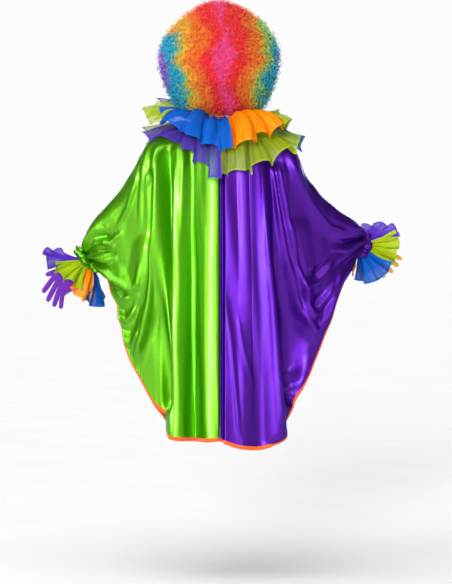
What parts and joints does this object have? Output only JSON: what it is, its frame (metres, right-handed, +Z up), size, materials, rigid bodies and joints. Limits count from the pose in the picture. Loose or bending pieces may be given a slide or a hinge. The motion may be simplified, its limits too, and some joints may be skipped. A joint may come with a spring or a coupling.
{
  "type": "clown costume",
  "caption": "Worn clown costume: loose two-colour satin poncho gathered at the wrists, net neck and wrist ruffles, curly wig and gloves.",
  "frame": {"origin": "middle of the neckline, where the poncho hangs on the wearer's shoulders", "axes": "+Z up towards the wig; +Y the way the costume faces, so its back looks along -Y; +X the wearer's right"},
  "size_m": [1.185, 0.5831, 1.4414],
  "materials": {
    "green_satin": "bright satin with soft folds",
    "purple_satin": "bright satin with soft folds",
    "orange_binding": "matt bias binding",
    "blue_net": "stiff net, slightly see-through",
    "orange_net": "stiff net, slightly see-through",
    "lime_net": "stiff net, slightly see-through",
    "purple_net": "stiff net, slightly see-through",
    "purple_glove": "matt stretch knit",
    "yellow_glove": "matt stretch knit",
    "wig_curls": "frizzy fibre in bands of many colours"
  },
  "bodies": {
    "root": {"back_left": "green_satin", "back_right": "purple_satin", "front_left": "green_satin", "front_right": "purple_satin", "binding_back_left": "orange_binding", "binding_back_right": "orange_binding", "binding_front_left": "orange_binding", "binding_front_right": "orange_binding", "wrist_band_left": "green_satin", "wrist_band_right": "purple_satin", "neckband": "orange_binding", "ruff_upper_blue_back": "blue_net", "ruff_upper_orange_back": "orange_net", "ruff_upper_lime_right": "lime_net", "ruff_upper_orange_front": "orange_net", "ruff_upper_purple_front": "purple_net", "ruff_upper_lime_left": "lime_net", "ruff_lower_purple_back": "purple_net", "ruff_lower_lime_back": "lime_net", "ruff_lower_blue_right": "blue_net", "ruff_lower_orange_front": "orange_net", "ruff_lower_lime_left": "lime_net", "cuff_left_purple": "purple_net", "cuff_left_lime": "lime_net", "cuff_left_orange": "orange_net", "cuff_left_blue": "blue_net", "cuff_right_purple": "purple_net", "cuff_right_lime": "lime_net", "cuff_right_blue": "blue_net", "cuff_right_orange": "orange_net", "glove_left": "purple_glove", "glove_right": "yellow_glove", "wig": "wig_curls"}
  },
  "joints": []
}
